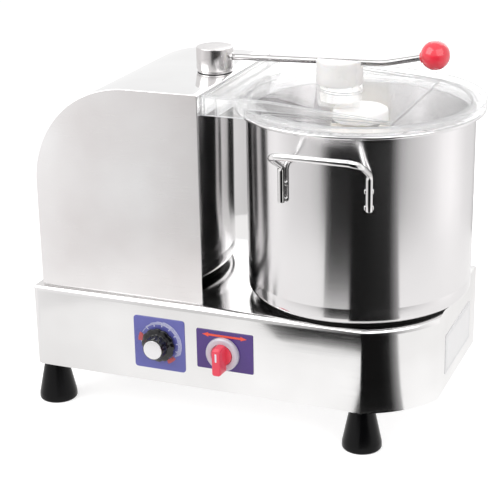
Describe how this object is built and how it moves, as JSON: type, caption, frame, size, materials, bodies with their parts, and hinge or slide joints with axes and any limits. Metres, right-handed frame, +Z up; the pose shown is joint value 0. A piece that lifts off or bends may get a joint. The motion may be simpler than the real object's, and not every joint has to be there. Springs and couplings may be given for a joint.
{
  "type": "vertical cutter mixer",
  "caption": "Countertop vertical cutter mixer: steel bowl with handles and a clear lid beside a motor tower, clamp lever with red ball, dial and switch on a low base.",
  "frame": {"origin": "centre of the bounding box on the plane of the feet", "axes": "+X along the front from the motor tower to the bowl, +Y from the front to the back, +Z up"},
  "size_m": [0.4855, 0.3092, 0.423],
  "materials": {
    "steel_brushed": "satin",
    "steel_pale": "satin",
    "steel_polished": "polished",
    "steel_blade": "polished",
    "steel_zinc": "plated",
    "rubber_black": "semi gloss",
    "motor_paint": "gloss",
    "aluminium_cast": "cast",
    "iron": "machined",
    "bronze": "machined",
    "plastic_black": "gloss",
    "nylon_white": "satin",
    "plastic_red": "gloss",
    "plate_blue": "satin",
    "plate_purple": "satin",
    "clear_lid": "clear",
    "board_green": "matte"
  },
  "bodies": {
    "frame": {"base_shell": "steel_brushed", "tower_shell": "steel_brushed", "tower_rear_cover": "steel_brushed", "base_bottom": "steel_brushed", "side_plate": "steel_pale", "bowl": "steel_polished", "bowl_tube": "steel_polished", "front_handle": "steel_polished", "rear_handle": "steel_polished", "foot_screws": "steel_zinc", "rear_cover_screws": "steel_zinc", "motor_bolts": "steel_zinc", "housing_bolts": "steel_zinc", "switch_bracket": "steel_zinc", "post_spring": "steel_zinc", "motor_bearings": "steel_zinc", "spindle_bearings": "steel_zinc", "foot_front_left": "rubber_black", "foot_front_right": "rubber_black", "foot_rear_left": "rubber_black", "foot_rear_right": "rubber_black", "bowl_seat_ring": "rubber_black", "post_washer": "rubber_black", "shaft_seal": "rubber_black", "drive_belt": "rubber_black", "motor_frame": "motor_paint", "motor_lower_shield": "aluminium_cast", "motor_upper_shield": "aluminium_cast", "bearing_housing": "aluminium_cast", "post_guide": "bronze", "cord_gland": "plastic_black", "lid_switch": "plastic_black", "speed_control": "plastic_black", "switch_body": "plastic_black", "feed_cap": "nylon_white", "switch_bezel": "nylon_white", "dial_plate": "plate_blue", "switch_plate": "plate_purple", "lid": "clear_lid", "feed_tube": "clear_lid", "control_board": "board_green"},
    "rotor": {"motor_rotor": "iron", "motor_fan": "plastic_black", "drive_pulley": "iron"},
    "cutter": {"spindle": "steel_blade", "driven_pulley": "iron", "blade_hub": "nylon_white", "lower_blade": "steel_blade", "blade_spacer": "nylon_white", "upper_blade": "steel_blade", "blade_clamp_ring": "nylon_white", "hub_washer": "steel_blade", "hub_cap_nut": "nylon_white"},
    "post": {"clamp_post": "steel_polished"},
    "lever": {"post_head": "steel_polished", "lever_rod": "steel_polished", "ball_knob": "plastic_red"},
    "arm": {"lid_switch_arm": "steel_zinc"},
    "knob": {"speed_knob": "plastic_black"},
    "selector": {"switch_handle": "plastic_red"}
  },
  "joints": [
    {"name": "rotor_spin", "type": "hinge", "parent": "frame", "child": "rotor", "pos_m": [-0.12575, 0, 0.2], "axis": [0, 0, 1], "continuous": true},
    {"name": "cutter_spin", "type": "hinge", "parent": "frame", "child": "cutter", "pos_m": [0.11175, 0, 0.2], "axis": [0, 0, 1], "continuous": true},
    {"name": "post_lift", "type": "slide", "parent": "frame", "child": "post", "axis": [0, 0, 1], "range_m": [0, 0.008], "stiffness_N_per_m": 1500, "springref_m": -0.006, "deforming": ["post_spring"]},
    {"name": "lever_swing", "type": "hinge", "parent": "post", "child": "lever", "pos_m": [-0.05225, 0, 0.385], "axis": [0, 0, 1], "range_deg": [0, 95]},
    {"name": "arm_tilt", "type": "hinge", "parent": "frame", "child": "arm", "pos_m": [-0.05225, 0.036, 0.3116], "axis": [-1, 0, 0], "range_deg": [0, 17.2]},
    {"name": "knob_turn", "type": "hinge", "parent": "frame", "child": "knob", "pos_m": [-0.07825, -0.12, 0.096], "axis": [0, -1, 0], "range_deg": [-135, 135]},
    {"name": "selector_turn", "type": "hinge", "parent": "frame", "child": "selector", "pos_m": [-0.00375, -0.12, 0.0955], "axis": [0, -1, 0], "range_deg": [-45, 45]}
  ],
  "couplings": [
    {"joint": "cutter_spin", "follows": "rotor_spin", "ratio": 0.71429},
    {"joint": "arm_tilt", "follows": "post_lift", "rad_per_m": 36.9}
  ]
}
